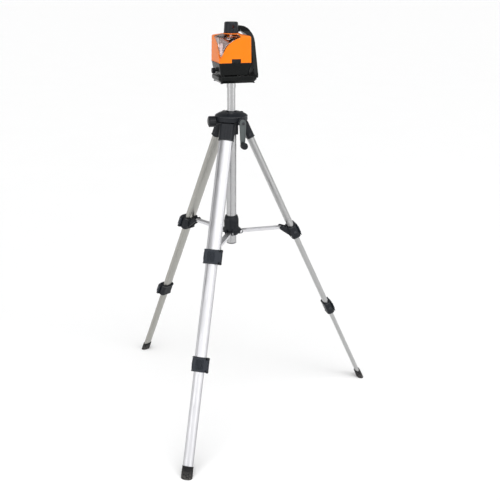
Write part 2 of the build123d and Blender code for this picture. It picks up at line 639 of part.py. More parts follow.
# ---- laser: bracket ----
with BuildPart() as mount_bracket:
    with BuildSketch(laser_level(0)):
        with Locations((BASE_SHIFT, 0)):
            RectangleRounded(*BASE_SIZE, 12)
    extrude(amount=BASE_HEIGHT)
    chamfer(mount_bracket.edges().group_by(Axis.Z)[0], 7)
    chamfer(mount_bracket.edges().group_by(Axis.Z)[-1], 1.5)
    # upright on the right, bending over the roof as a hook
    with BuildSketch(laser_front(-37)):
        with BuildLine():
            Line((43.5, 10), (42.5, 90))
            ThreePointArc((42.5, 90), (37, 103), (26, 109.5))
            Line((26, 109.5), (18.2, 109.5))
            Line((18.2, 109.5), (18.2, 119))
            ThreePointArc((18.2, 119), (19.1, 121.5), (21.7, 122.6))
            ThreePointArc((21.7, 122.6), (43.8, 114.6), (53.2, 95))
            Line((53.2, 95), (52.4, 12))
            Line((52.4, 12), (43.5, 10))
        make_face()
    extrude(amount=74)
    side_cut = [(-37.5, 17), (-10, 88), (6, 110), (6, 140), (-45, 140), (-45, 17)]
    outline(laser_side(12), side_cut, 45, Mode.SUBTRACT)
    back_cut = [(37.5, 40), (33, 100), (30, 108), (30, 140), (45, 140), (45, 40)]
    outline(laser_side(12), back_cut, 45, Mode.SUBTRACT)
    # notch under the hook
    outline(laser_front(-37), [(22.5, 109), (26.5, 109), (24.5, 116.5)], 74, Mode.SUBTRACT)
    disc(laser_level(-1), DISC_R + 0.4, 5.1, mode=Mode.SUBTRACT)
    disc(laser_level(0), TRIPOD_SCREW_R + FIT, 13.5, mode=Mode.SUBTRACT)
save(mount_bracket, "mount_bracket")


# ---- laser: lower housing, battery door, batteries, circuit board ----
def lower_shell():
    """Tapered tray that carries the batteries, open at the top."""
    for bottom, wall in ((HOUSING_BOTTOM, 0), (HOUSING_BOTTOM + 2.6, HOUSING_WALL)):
        mode = Mode.SUBTRACT if wall else Mode.ADD
        with BuildSketch(laser_level(bottom)) as low:
            RectangleRounded(FOOTPRINT_LOW[0] - 2 * wall, FOOTPRINT_LOW[1] - 2 * wall, 7 - wall)
        with BuildSketch(laser_level(SEAM)) as high:
            RectangleRounded(FOOTPRINT_SEAM[0] - 2 * wall, FOOTPRINT_SEAM[1] - 2 * wall, 7 - wall)
        loft([low.sketch, high.sketch], mode=mode)


with BuildPart() as base_housing:
    lower_shell()
    disc(laser_level(BASE_HEIGHT), 14, HOUSING_BOTTOM - BASE_HEIGHT + 0.5)
    block(laser_front(33), (13, 5.4), 3.9, (2.4, SEAM - 2.9))
    block(laser_front(-40), (DOOR_SIZE[0] + 0.6, DOOR_SIZE[1] + 0.6), 12, (0, DOOR_HEIGHT), Mode.SUBTRACT)
    disc(laser_side(-DOOR_BARREL / 2 - 0.4), DOOR_BARREL_R + 0.35, DOOR_BARREL + 0.8, DOOR_HINGE, Mode.SUBTRACT)
    disc(laser_side(-40), SIDE_STEM_R + FIT, 20, SIDE_KNOB, Mode.SUBTRACT)
save(base_housing, "base_housing")

with BuildPart() as battery_door:
    lower_shell()
    block(laser_front(-40), DOOR_SIZE, 12, (0, DOOR_HEIGHT), Mode.INTERSECT)
    disc(laser_side(-DOOR_BARREL / 2), DOOR_BARREL_R, DOOR_BARREL, DOOR_HINGE)
save(battery_door, "battery_door")

with BuildPart() as batteries:
    for back in (-16, 0, 16):
        disc(laser_side(-24.5), BATTERY_R, 48, (back, 28))
        disc(laser_side(23.5), 2.7, 1.6, (back, 28))
save(batteries, "batteries")

with BuildPart() as circuit_board:
    block(laser_level(40), (60, 56), 1.6)
    for place, size, tall in (((-18, 10), (14, 14), 2), ((12, 14), (10, 6), 3), ((16, -16), (8, 8), 2.4)):
        block(laser_level(41.6), size, tall, place)
save(circuit_board, "circuit_board")

# ---- laser: upper housing and corner window ----
STAGES = (
    (SEAM, FOOTPRINT_SEAM, 5.0),
    (EAVES, FOOTPRINT_EAVES, 5.0),
    (ROOF_EDGE, FOOTPRINT_EDGE, 5.0),
    (ROOF_TOP, FOOTPRINT_TOP, 12.0),
)
CORNER = (-FOOTPRINT_SEAM[0] / 2, -FOOTPRINT_SEAM[1] / 2)
FLARE_R = 49.0


def upper_body(wall, mode=Mode.ADD):
    """Stacked lofts of the upper housing, drawn in by a wall thickness."""
    sections = []
    for height, size, radius in STAGES:
        drop = wall if height > EAVES else 0
        with BuildSketch(laser_level(height - drop)) as section:
            RectangleRounded(size[0] - 2 * wall, size[1] - 2 * wall, radius - 0.6 * wall)
        sections.append(section.sketch)
    for low, high in zip(sections[:-1], sections[1:]):
        loft([low, high], mode=mode)


def flare(gap, mode):
    """Trumpet about the front left corner, which is the window's outline."""
    turn = radians(LASER_AZIMUTH)
    corner_x = CORNER[0] * cos(turn) - CORNER[1] * sin(turn)
    corner_y = AXIS_Y + CORNER[0] * sin(turn) + CORNER[1] * cos(turn)
    plane = Plane(origin=(corner_x, corner_y, LASER_Z), x_dir=(cos(turn), sin(turn), 0),
                  z_dir=(sin(turn), -cos(turn), 0))
    reach = FLARE_R - gap
    with BuildSketch(plane) as half:
        with BuildLine():
            Line((0, 120), (0, 50 + gap))
            Spline((0, 50 + gap), (12 - gap, 71.5 + gap), (28 - gap, 89.5 + gap), (reach, 99.3 + gap))
            Line((reach, 99.3 + gap), (reach, 120))
            Line((reach, 120), (0, 120))
        make_face()
    revolve(half.sketch, axis=Axis((corner_x, corner_y, 0), (0, 0, 1)), mode=mode)


with BuildPart() as window_region:
    flare(0, Mode.ADD)
    disc(laser_level(40), ROTOR_R + 2.4, 90, mode=Mode.SUBTRACT)

with BuildPart() as housing_shell:
    upper_body(0)
    upper_body(HOUSING_WALL, Mode.SUBTRACT)
    block(laser_level(SEAM - 1), (FOOTPRINT_SEAM[0] - 2 * HOUSING_WALL, FOOTPRINT_SEAM[1] - 2 * HOUSING_WALL),
          1.4, mode=Mode.SUBTRACT)
    ring(laser_level(ROOF_TOP - 1.5), ROTOR_R + 1.2, 14, 2.6)
    disc(laser_level(ROOF_TOP - 6), 14, 12, mode=Mode.SUBTRACT)
    block(laser_front(30), (21.5, 8.8), 10, (SWITCH_X, SEAM + 4.39), Mode.SUBTRACT)
    add(window_region.part, mode=Mode.SUBTRACT)
save(housing_shell, "housing_shell")

with BuildPart() as window_limit:
    flare(0.15, Mode.ADD)
    disc(laser_level(40), ROTOR_R + 2.55, 90, mode=Mode.SUBTRACT)

with BuildPart() as corner_window:
    upper_body(0)
    upper_body(HOUSING_WALL - 0.4, Mode.SUBTRACT)
    add(window_limit.part, mode=Mode.INTERSECT)
save(corner_window, "corner_window")

# ---- laser: inside ----
with BuildPart() as optics_chassis:
    with BuildSketch(laser_level(SEAM + 1)):
        RectangleRounded(66, 63, 6)
    extrude(amount=2)
    ring(laser_level(SEAM + 3), 17, 13.6, 48)
    # diagonal bracket that holds the plumb vial in the window corner
    outline(laser_level(SEAM + 3), [(-29, -16), (-24, -12), (-10, -18), (-14, -27), (-20, -30)], 14)
    block(laser_level(SEAM + 3), (5, 30), 40, (-27.5, 4))
    block(laser_level(SEAM + 3), (28, 5), 40, (8, -26.5))
    disc(laser_level(SEAM + 2), 6, 16, mode=Mode.SUBTRACT)
    disc(laser_level(SEAM + 10), VIAL_R + 0.1, 40, VIAL_PLACE, Mode.SUBTRACT)
save(optics_chassis, "optics_chassis")

with BuildPart() as level_vials:
    disc(laser_level(SEAM + 10.2), VIAL_R, 27, VIAL_PLACE)
    fillet(level_vials.edges().group_by(Axis.Z)[-1], 2)
save(level_vials, "level_vials")

with BuildPart() as laser_module:
    disc(laser_level(SEAM + 3.2), 6.5, 26)
    disc(laser_level(SEAM + 29.2), 9, 3)
    ring(laser_level(SEAM + 32.2), 4, 2.2, 2)
save(laser_module, "laser_module")

with BuildPart() as drive_motor:
    ring(laser_level(MOTOR_HEIGHT), MOTOR_R, SHAFT_R + FIT, MOTOR_LENGTH)
save(drive_motor, "drive_motor")

with BuildPart() as rotor_shaft:
    ring(laser_level(MOTOR_HEIGHT), SHAFT_R, 3, ROTOR_BOTTOM - MOTOR_HEIGHT + 6)
save(rotor_shaft, "rotor_shaft")

with BuildPart() as rotor_head:
    with BuildSketch(laser_front(0)):
        with BuildLine():
            Polyline((0, ROTOR_BOTTOM), (ROTOR_R - 0.4, ROTOR_BOTTOM), (ROTOR_R, ROTOR_BOTTOM + 0.8))
            Line((ROTOR_R, ROTOR_BOTTOM + 0.8), (ROTOR_R - 1.2, ROTOR_TOP - 3.5))
            ThreePointArc((ROTOR_R - 1.2, ROTOR_TOP - 3.5), (ROTOR_R - 2.2, ROTOR_TOP - 1.1),
                          (ROTOR_R - 4.6, ROTOR_TOP))
            Polyline((ROTOR_R - 4.6, ROTOR_TOP), (0, ROTOR_TOP), (0, ROTOR_BOTTOM))
        make_face()
    revolve(axis=COLUMN_AXIS)
    with BuildSketch(laser_level(ROTOR_BOTTOM + 2.5)):
        with PolarLocations(ROTOR_R + 0.1, 24, start_angle=7.5):
            Rectangle(1.6, 1.5)
    extrude(amount=15.5, mode=Mode.SUBTRACT)
    disc(laser_front(2), 2.8, 20, (0, APERTURE_HEIGHT), Mode.SUBTRACT)
    disc(laser_level(ROTOR_BOTTOM - 1), SHAFT_R + SEAT, 7.2, mode=Mode.SUBTRACT)
save(rotor_head, "rotor_head")

with BuildPart() as side_knob:
    with BuildSketch(laser_side(-43.4)):
        with Locations(SIDE_KNOB):
            Circle(SIDE_KNOB_R)
            with PolarLocations(SIDE_KNOB_R + 0.4, 12):
                Circle(0.9, mode=Mode.SUBTRACT)
    extrude(amount=7)
    disc(laser_side(-37), SIDE_STEM_R, 10, SIDE_KNOB)
save(side_knob, "side_knob")

with BuildPart() as power_switch:
    block(laser_front(34.4), SWITCH_SIZE, 3, (SWITCH_X - 4.2, SEAM + 4.4))
    chamfer(power_switch.edges().group_by(Axis((0, 0, 0), laser_front(0).z_dir))[-1], 0.8)
    block(laser_front(32.2), (30, 11), 1.2, (SWITCH_X - 4.2, SEAM + 6.2))
    block(laser_front(33.3), SWITCH_SIZE, 1.2, (SWITCH_X - 4.2, SEAM + 4.4))
save(power_switch, "power_switch")
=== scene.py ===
"""Looks of the laser level on its tripod: materials, fine detail, floor, lights and camera."""
import json
import math

import bmesh
import bpy
import numpy as np
from mathutils import Matrix, Vector
from mathutils.bvhtree import BVHTree


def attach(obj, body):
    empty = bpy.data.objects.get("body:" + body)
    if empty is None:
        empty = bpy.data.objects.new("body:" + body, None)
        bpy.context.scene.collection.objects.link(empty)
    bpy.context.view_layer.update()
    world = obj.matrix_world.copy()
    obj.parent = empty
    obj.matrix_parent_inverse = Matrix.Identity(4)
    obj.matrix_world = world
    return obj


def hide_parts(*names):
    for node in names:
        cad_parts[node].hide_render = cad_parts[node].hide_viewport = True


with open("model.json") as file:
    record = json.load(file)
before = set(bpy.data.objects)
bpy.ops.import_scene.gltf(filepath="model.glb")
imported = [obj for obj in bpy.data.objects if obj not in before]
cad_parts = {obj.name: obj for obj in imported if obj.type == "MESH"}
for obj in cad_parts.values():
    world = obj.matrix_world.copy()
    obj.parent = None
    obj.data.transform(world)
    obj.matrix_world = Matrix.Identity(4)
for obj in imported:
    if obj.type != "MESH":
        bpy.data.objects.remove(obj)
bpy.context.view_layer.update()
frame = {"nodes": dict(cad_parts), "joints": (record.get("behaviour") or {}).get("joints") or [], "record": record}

nodes = frame["nodes"]
joints = {joint["name"]: joint for joint in frame["joints"]}
LEGS = ("front", "right", "left")
MM = 0.001
UP = Vector((0, 0, 1))


# ---- local frames, all taken from the joints ----
def placed(origin, x_axis, y_axis, z_axis):
    """Local frame as a matrix."""
    columns = Matrix((x_axis, y_axis, z_axis)).transposed().to_4x4()
    return Matrix.Translation(origin) @ columns


def leg_frame(leg):
    """X across the leg, Y away from the column, Z down the leg, from the leg's pivot."""
    fold = joints[f"leg_fold_{leg}"]
    down = -Vector(joints[f"middle_slide_{leg}"]["axis"])
    across = Vector(fold["axis"])
    return placed(fold["pos_m"], across, down.cross(across), down)


def outward_frame(joint):
    """Z along the joint's axis, Y up."""
    outward = Vector(joints[joint]["axis"])
    return placed(joints[joint]["pos_m"], UP.cross(outward), UP, outward)


def laser_frame():
    """X to the laser's right, Y to its back, Z up, from the middle of its base."""
    right = -Vector(joints["battery_door_hinge"]["axis"])
    return placed(joints["laser_pan"]["pos_m"], right, UP.cross(right), UP)


LASER = laser_frame()
COLUMN = Matrix.Translation((*Vector(joints["laser_pan"]["pos_m"])[:2], 0))
LEG = {leg: leg_frame(leg) for leg in LEGS}


def extent(node, place):
    """Lowest and highest corner of a CAD node in a local frame."""
    inverse = place.inverted()
    points = np.array([inverse @ vertex.co for vertex in nodes[node].data.vertices])
    return Vector(points.min(0)), Vector(points.max(0))


def at(x=0.0, y=0.0, z=0.0):
    """Shift in millimetres."""
    return Matrix.Translation((x * MM, y * MM, z * MM))


def turned(angle, axis):
    """Turn in degrees."""
    return Matrix.Rotation(math.radians(angle), 4, axis)


# ---- materials ----
class Look:
    """A procedural material, built one node at a time."""

    def __init__(self, name, colour, roughness, **sockets):
        self.material = bpy.data.materials.new(name)
        self.material.use_nodes = True
        self.tree = self.material.node_tree
        self.shader = self.tree.nodes["Principled BSDF"]
        self.colour = (*colour, 1.0)
        self.shader.inputs["Base Color"].default_value = self.colour
        self.shader.inputs["Roughness"].default_value = roughness
        for name, value in sockets.items():
            self.shader.inputs[name.replace("_", " ")].default_value = value
        self.point = self.node("ShaderNodeTexCoord").outputs["Object"]
        self.normal = None

    def node(self, kind, inputs=None, **settings):
        made = self.tree.nodes.new(kind)
        for key, value in settings.items():
            setattr(made, key, value)
        for key, value in (inputs or {}).items():
            if isinstance(value, bpy.types.NodeSocket):
                self.tree.links.new(value, made.inputs[key])
            else:
                made.inputs[key].default_value = value
        return made

    def stretched(self, scale, turn=(0, 0, 0)):
        """Coordinates turned first and then scaled along each axis."""
        turned_point = self.node("ShaderNodeMapping", {"Vector": self.point, "Rotation": turn})
        return self.node("ShaderNodeMapping", {"Vector": turned_point.outputs[0], "Scale": scale}).outputs[0]

    def noise(self, scale, detail=3.0, vector=None, roughness=0.5):
        inputs = {"Vector": vector or self.point, "Scale": scale, "Detail": detail, "Roughness": roughness}
        return self.node("ShaderNodeTexNoise", inputs).outputs["Fac"]

    def remap(self, value, start, end, low=0.0, high=1.0):
        inputs = {"Value": value, "From Min": start, "From Max": end, "To Min": low, "To Max": high}
        return self.node("ShaderNodeMapRange", inputs).outputs[0]

    def maths(self, operation, first, second=0.0):
        return self.node("ShaderNodeMath", {0: first, 1: second}, operation=operation).outputs[0]

    def mix(self, factor, first, second, blend="MIX"):
        """Colour mix of sockets or colours."""
        inputs = {0: factor, 6: first, 7: second}
        return self.node("ShaderNodeMix", inputs, data_type="RGBA", blend_type=blend).outputs[2]

    def edges(self, radius=0.7):
        """Rounds sharp edges in the shading and gives a mask of where they are."""
        bevel = self.node("ShaderNodeBevel", {"Radius": radius * MM}, samples=6).outputs[0]
        true_normal = self.node("ShaderNodeNewGeometry").outputs["Normal"]
        facing = self.node("ShaderNodeVectorMath", {0: bevel, 1: true_normal}, operation="DOT_PRODUCT")
        self.normal = bevel
        return self.remap(facing.outputs["Value"], 0.985, 0.8)

    def bump(self, height, depth, strength=1.0):
        """Bump of a depth in millimetres, on top of what is there already."""
        inputs = {"Height": height, "Distance": depth * MM, "Strength": strength}
        if self.normal:
            inputs["Normal"] = self.normal
        self.normal = self.node("ShaderNodeBump", inputs).outputs[0]

    def finish(self, colour=None, roughness=None):
        for socket, value in (("Base Color", colour), ("Roughness", roughness), ("Normal", self.normal)):
            if value is not None:
                self.tree.links.new(value, self.shader.inputs[socket])
        return self.material


def shade(colour, factor):
    return tuple(channel * factor for channel in colour[:3]) + (1.0,)


def moulded(name, colour, roughness, grain=0.02, sheen=0.35, wear=0.3, radius=0.7, coat=0.0, gloss=0.22):
    """Injection-moulded plastic: spark-eroded grain, cloudy gloss, rubbed edges, dust."""
    look = Look(name, colour, roughness, Coat_Weight=coat, Coat_Roughness=0.15, Specular_IOR_Level=gloss)
    edge = look.edges(radius)
    cloud = look.noise(38, 4)
    patch = look.noise(9, 3)
    base = look.mix(cloud, shade(colour, 0.82), shade(colour, 1.2))
    rubbed = look.maths("MULTIPLY", edge, look.remap(look.noise(160, 5), 0.42, 0.62, 0.0, wear))
    base = look.mix(rubbed, base, shade([c + 0.07 for c in colour], 1.0))
    dust = look.remap(look.noise(520, 6, roughness=0.7), 0.68, 0.82, 0.0, 0.07)
    base = look.mix(dust, base, (0.42, 0.4, 0.37, 1))
    low, high = roughness - sheen * 0.3, roughness + sheen * 0.35
    rough = look.remap(look.maths("ADD", cloud, patch), 0.6, 1.4, low, high)
    look.bump(look.noise(2600, 2), grain)
    look.bump(look.noise(90, 3), grain * 2.0, 0.5)
    return look.finish(base, rough)


def extruded(name, colour, roughness, down, line_depth=0.006):
    """Anodised extrusion: die lines along it, faint handling marks, cloudy satin."""
    look = Look(name, colour, roughness, Metallic=1.0, Anisotropic=0.45)
    turn = tuple(Vector(down).rotation_difference(UP).to_euler())
    lines = look.noise(1.0, 4, look.stretched((2400, 2400, 6), turn), 0.65)
    broad = look.noise(1.0, 3, look.stretched((210, 210, 3), turn))
    cloud = look.noise(26, 4)
    marks = look.remap(look.noise(1.0, 6, look.stretched((600, 600, 60), turn), 0.75), 0.72, 0.84, 0.0, 0.3)
    look.edges(0.4)
    base = look.mix(broad, shade(colour, 0.9), shade(colour, 1.06))
    base = look.mix(marks, base, shade(colour, 0.72))
    rough = look.remap(look.maths("ADD", cloud, lines), 0.6, 1.4, roughness - 0.07, roughness + 0.12)
    look.bump(lines, line_depth)
    look.bump(broad, 0.02, 0.4)
    return look.finish(base, rough)


def turned_metal(name, colour, roughness, scale=900):
    """Machined metal: fine rings across the axis and slight staining."""
    look = Look(name, colour, roughness, Metallic=1.0)
    look.edges(0.3)
    rings = look.noise(1.0, 3, look.stretched((40, 40, scale * 2)))
    stain = look.noise(120, 5)
    base = look.mix(stain, shade(colour, 0.82), shade(colour, 1.1))
    look.bump(rings, 0.006)
    return look.finish(base, look.remap(look.noise(300, 4), 0.3, 0.7, roughness - 0.08, roughness + 0.12))


def enamel(name, colour, roughness):
    """Painted casting: orange peel, fine specks, metal showing at worn edges."""
    look = Look(name, colour, roughness, Metallic=0.35, Coat_Weight=0.25, Coat_Roughness=0.2)
    edge = look.edges(0.6)
    cloud = look.noise(60, 4)
    flake = look.remap(look.noise(3200, 2), 0.5, 0.75, 0.0, 0.35)
    base = look.mix(cloud, shade(colour, 0.85), shade(colour, 1.15))
    base = look.mix(flake, base, shade(colour, 2.2))
    worn = look.maths("MULTIPLY", edge, look.remap(look.noise(220, 5), 0.52, 0.64, 0.0, 0.4))
    base = look.mix(worn, base, (0.55, 0.55, 0.56, 1))
    look.bump(look.noise(700, 3), 0.02)
    return look.finish(base, look.remap(cloud, 0.3, 0.7, roughness - 0.08, roughness + 0.12))


def rubber(name, colour):
    """Moulded rubber: dull, speckled, dusty near the floor."""
    look = Look(name, colour, 0.75, Sheen_Weight=0.05, Sheen_Roughness=0.5, Specular_IOR_Level=0.2)
    edge = look.edges(0.8)
    grain = look.noise(1500, 4)
    base = look.mix(look.noise(45, 4), shade(colour, 0.8), shade(colour, 1.35))
    height = look.node("ShaderNodeSeparateXYZ", {0: look.point}).outputs[2]
    low = look.remap(height, 0.022, 0.0, 0.0, 1.0)
    grime = look.maths("MULTIPLY", look.remap(look.noise(260, 6), 0.4, 0.65), low)
    scuffed = look.maths("MULTIPLY", edge, look.remap(look.noise(300, 5), 0.4, 0.6, 0.0, 0.5))
    marked = look.maths("MAXIMUM", look.maths("MULTIPLY", grime, 0.5), scuffed)
    base = look.mix(marked, base, (0.16, 0.15, 0.14, 1))
    look.bump(grain, 0.03)
    return look.finish(base, look.remap(grain, 0.3, 0.7, 0.62, 0.88))


def glossy_shell(name, colour):
    """Gloss-moulded cover: slight orange peel, swirl marks, and a painted highlight that makes the rounded edges
    lighter.
    """
    look = Look(name, colour, 0.22, Coat_Weight=0.03, Coat_Roughness=0.06, Specular_IOR_Level=0.08)
    edge = look.edges(1.2)
    cloud = look.noise(22, 3)
    base = look.mix(cloud, shade(colour, 0.93), shade(colour, 1.05))
    # painted highlight: every rounded edge is mixed towards a lighter orange
    base = look.mix(look.maths("MULTIPLY", edge, 0.4), base, (0.95, 0.4, 0.07, 1))
    speck = look.remap(look.noise(1400, 6, roughness=0.75), 0.7, 0.8, 0.0, 0.25)
    base = look.mix(speck, base, (0.75, 0.55, 0.38, 1))
    scratch = look.noise(1.0, 5, look.stretched((1500, 1500, 45), (0.5, 0.35, 0.2)), 0.7)
    look.bump(look.noise(420, 2), 0.012)
    look.bump(look.remap(scratch, 0.68, 0.8), 0.006)
    rough = look.remap(look.maths("ADD", cloud, scratch), 0.6, 1.5, 0.14, 0.34)
    return look.finish(base, rough)


def clear(name, colour, roughness=0.02, ior=1.3):
    """Clear moulding with slight flow marks and dust."""
    look = Look(name, colour, roughness, Transmission_Weight=1.0, IOR=ior, Coat_Weight=0.05)
    look.edges(0.5)
    dust = look.noise(900, 6, roughness=0.75)
    look.bump(look.noise(120, 2), 0.01)
    base = look.mix(look.remap(dust, 0.68, 0.82, 0.0, 0.35), shade(colour, 1.0), (0.9, 0.86, 0.82, 1))
    return look.finish(base, look.remap(dust, 0.55, 0.8, roughness, roughness + 0.22))


def metallised(name, colour):
    """Vacuum-metallised moulding: bright, wavy, a little hazy."""
    look = Look(name, colour, 0.12, Metallic=1.0)
    look.edges(1.0)
    wave = look.noise(110, 2)
    look.bump(wave, 0.9)
    look.bump(look.noise(900, 2), 0.01)
    haze = look.noise(70, 5)
    base = look.mix(haze, shade(colour, 0.8), shade(colour, 1.1))
    return look.finish(base, look.remap(haze, 0.35, 0.7, 0.04, 0.16))


def board_look(name, colour):
    """Circuit board: solder resist with tracks and tinned pads."""
    look = Look(name, colour, 0.35, Specular_IOR_Level=0.6)
    pattern = {"Vector": look.point, "Scale": 260.0, "Mortar Size": 0.03}
    colours = {"Color1": (0, 0, 0, 1), "Color2": (0, 0, 0, 1), "Mortar": (1, 1, 1, 1)}
    tracks = look.node("ShaderNodeTexBrick", {**pattern, **colours})
    base = look.mix(look.noise(60, 3), shade(colour, 0.8), shade(colour, 1.2))
    base = look.mix(tracks.outputs["Color"], base, (0.08, 0.42, 0.18, 1))
    look.bump(tracks.outputs["Color"], 0.02)
    return look.finish(base, look.remap(look.noise(500, 3), 0.3, 0.7, 0.25, 0.45))


CHARCOAL = (0.0075, 0.009, 0.012)
LOOKS = {
    "moulding": moulded("nylon_moulding", CHARCOAL, 0.42, 0.022),
    "lever": moulded("nylon_lever", (0.009, 0.0125, 0.019), 0.3, 0.012, radius=0.4, gloss=0.28),
    "foot_rubber": rubber("foot_rubber_look", (0.007, 0.007, 0.008)),
    "column": extruded("bright_tube", (0.46, 0.46, 0.465), 0.24, UP, 0.003),
    "bush": moulded("acetal_bush", (0.010, 0.011, 0.014), 0.38, 0.006, radius=0.4),
    "steel": turned_metal("turned_steel", (0.58, 0.58, 0.6), 0.28),
    "blackened": turned_metal("blackened_steel", (0.06, 0.062, 0.068), 0.34),
    "crank": enamel("crank_enamel", (0.07, 0.082, 0.082), 0.34),
    "knob": moulded("knob_moulding", (0.006, 0.007, 0.009), 0.36, 0.014, coat=0.1),
    "laser_base": moulded("laser_base_moulding", (0.0035, 0.0042, 0.0042), 0.27, 0.014, wear=0.15, coat=0.03,
                          gloss=0.13),
    "laser_shell": glossy_shell("orange_shell", (0.80, 0.183, 0.009)),
    "window": clear("window_acrylic", (0.98, 0.86, 0.82), 0.02, 1.2),
    "reflector": metallised("metallised_plastic", (0.84, 0.84, 0.88)),
    "guide": moulded("light_guide_moulding", (0.66, 0.65, 0.72), 0.3, 0.01, gloss=0.5),
    "gloss": moulded("polished_rim", (0.010, 0.012, 0.015), 0.26, 0.006, wear=0.2, coat=0.5, gloss=0.4),
    "vial": clear("vial_acrylic", (0.86, 0.9, 0.72), 0.04, 1.4),
    "laser_head": moulded("laser_head_moulding", (0.008, 0.009, 0.013), 0.34, 0.014, coat=0.05),
    "switch": moulded("switch_moulding", (0.008, 0.008, 0.009), 0.3, 0.01, radius=0.4),
    "battery": enamel("battery_sleeve", (0.16, 0.18, 0.22), 0.3),
    "board": board_look("solder_resist", (0.015, 0.12, 0.05)),
    "brass": turned_metal("turned_brass", (0.72, 0.5, 0.2), 0.25),
    "seal": rubber("rotor_seal_look", (0.42, 0.045, 0.02)),
    "lens": clear("lens_glass", (0.75, 0.12, 0.1), 0.01, 1.5),
}
# Lit and shaded copies of one aluminium: the left leg's colour is painted darker and warmer as painted shade, the
# front leg's is painted lighter as painted light, and the right leg sits between.
TUBE_COLOUR_AND_PAINTED_SHADE = {"front": (0.47, 0.47, 0.485), "right": (0.45, 0.45, 0.45), "left": (0.4, 0.395, 0.37)}
TUBE_LOOKS_WITH_PAINTED_SHADE = {leg: extruded(f"leg_tube_{leg}_look", TUBE_COLOUR_AND_PAINTED_SHADE[leg], 0.3, LEG[leg].col[2][:3]) for leg in LEGS}
STRUT_LOOKS = {leg: extruded(f"strut_{leg}_look", (0.66, 0.66, 0.68), 0.36, LEG[leg].col[0][:3], 0.004)
               for leg in LEGS}


def dress_cad_nodes():
    """Gives every CAD node the look of its material slot."""
    for row in frame["record"]["subparts"]:
        name, slot = row["node"], row["material_slot"]
        leg = name.rsplit("_", 1)[-1]
        if slot == "leg_tube":
            # each leg's tube gets its own copy of the aluminium, with painted shade in its colour
            look = TUBE_LOOKS_WITH_PAINTED_SHADE[leg]
        elif slot == "strut":
            look = STRUT_LOOKS[leg]
        else:
            look = LOOKS[slot]
        mesh = nodes[name].data
        mesh.materials.clear()
        mesh.materials.append(look)


# ---- building pieces ----
class Piece:
    """A mesh built up from lofted, lathed and ridged shapes, each placed by a matrix."""

    def __init__(self):
        self.mesh = bmesh.new()

    def loft(self, sections, ends="cap"):
        """Skins closed rings of points; the ends are capped, or joined to each other."""
        rings = [[self.mesh.verts.new(point) for point in section] for section in sections]
        pairs = list(zip(rings[:-1], rings[1:]))
        if ends == "join":
            pairs.append((rings[-1], rings[0]))
        for first, second in pairs:
            for i, low in enumerate(first):
                j = (i + 1) % len(first)
                self.mesh.faces.new((low, first[j], second[j], second[i]))
        if ends == "cap":
            self.mesh.faces.new(reversed(rings[0]))
            self.mesh.faces.new(rings[-1])

    def lathe(self, place, profile, segments=48, ends="cap"):
        """Turns (radius, height) points in millimetres about the frame's Z axis."""
        sections = []
        for radius, height in profile:
            ring = []
            for i in range(segments):
                turn = 2 * math.pi * i / segments
                point = Vector((radius * math.cos(turn), radius * math.sin(turn), height)) * MM
                ring.append(place @ point)
            sections.append(ring)
        self.loft(sections, ends)

    def bead(self, place, radius, height, size, segments=96):
        """Ring of round section, all in millimetres, about the frame's Z axis."""
        profile = []
        for i in range(10):
            turn = 2 * math.pi * i / 10
            profile.append((radius + size * math.cos(turn), height + size * math.sin(turn)))
        self.lathe(place, profile, segments, "join")

    def ribs(self, place, radius, height, turns, length, width, proud):
        """Half-round ribs along the frame's Z axis at a radius, all in millimetres."""
        for turn in turns:
            foot = place @ turned(turn, "Z") @ at(radius, 0, height) @ turned(90, "Y")
            self.ridge(foot, length * MM, width * MM, proud * MM)

    def bar(self, place, path, radius, steps=10):
        """Round bar along an open path of points in metres, tapered at its ends."""
        rings = []
        for i, point in enumerate(path):
            before, after = Vector(path[max(i - 1, 0)]), Vector(path[min(i + 1, len(path) - 1)])
            along = (after - before).normalized()
            side = along.orthogonal() if i == 0 else side - along * side.dot(along)
            side.normalize()
            other = along.cross(side)
            size = radius * MM * (0.3 if i in (0, len(path) - 1) else 1.0)
            ring = []
            for k in range(steps):
                turn = 2 * math.pi * k / steps
                radial = side * math.cos(turn) + other * math.sin(turn)
                ring.append(place @ (Vector(point) + size * radial))
            rings.append(ring)
        self.loft(rings)

    def ridge(self, place, length, width, height, steps=6):
        """Half-round ridge along X with rounded ends, standing on the frame's XY plane."""
        sections = []
        half = length / 2
        reach = width / 2
        for i in range(steps + 1):
            turn = math.pi / 2 * i / steps
            sections.append((-half + reach - reach * math.cos(turn), max(math.sin(turn), 0.04)))
        sections += [(-x, size) for x, size in reversed(sections)]
        rings = []
        for x, size in sections:
            turns = [math.pi * i / 8 for i in range(9)]
            arc = [(-1, -0.3), *((-math.cos(turn), math.sin(turn)) for turn in turns), (1, -0.3)]
            ring = []
            for y, z in arc:
                ring.append(place @ Vector((x, reach * size * y, height * z * (size if z > 0 else 1))))
            rings.append(ring)
        self.loft(rings)

    def screw(self, place, radius, height):
        """Domed screw head with a cross recess."""
        rings = []
        arm, width = 0.62 * radius, 0.2 * radius
        for share in (1.0, 1.0, 0.93, 0.8, 0.66, 0.6, 0.5, 0.4, 0.3, 0.24, 0.18, 0.1):
            ring = []
            for i in range(64):
                turn = 2 * math.pi * i / 64
                x, y = radius * share * math.cos(turn), radius * share * math.sin(turn)
                crossed = (abs(x) < width and abs(y) < arm) or (abs(y) < width and abs(x) < arm)
                z = height * math.sqrt(max(0.0, 1 - (0.8 * share) ** 2)) - (0.45 * height if crossed else 0)
                ring.append((x, y, z if rings else -0.3 * height))
            rings.append(ring)
        self.loft([[place @ Vector(point) for point in ring] for ring in rings])

    def finish(self, name, material, body, slot, smooth=32.0):
        bmesh.ops.recalc_face_normals(self.mesh, faces=self.mesh.faces)
        data = bpy.data.meshes.new(name)
        self.mesh.to_mesh(data)
        self.mesh.free()
        data.polygons.foreach_set("use_smooth", [True] * len(data.polygons))
        data.set_sharp_from_angle(angle=math.radians(smooth))
        piece = bpy.data.objects.new(name, data)
        bpy.context.scene.collection.objects.link(piece)
        data.materials.append(material)
        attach(piece, body)
        return piece


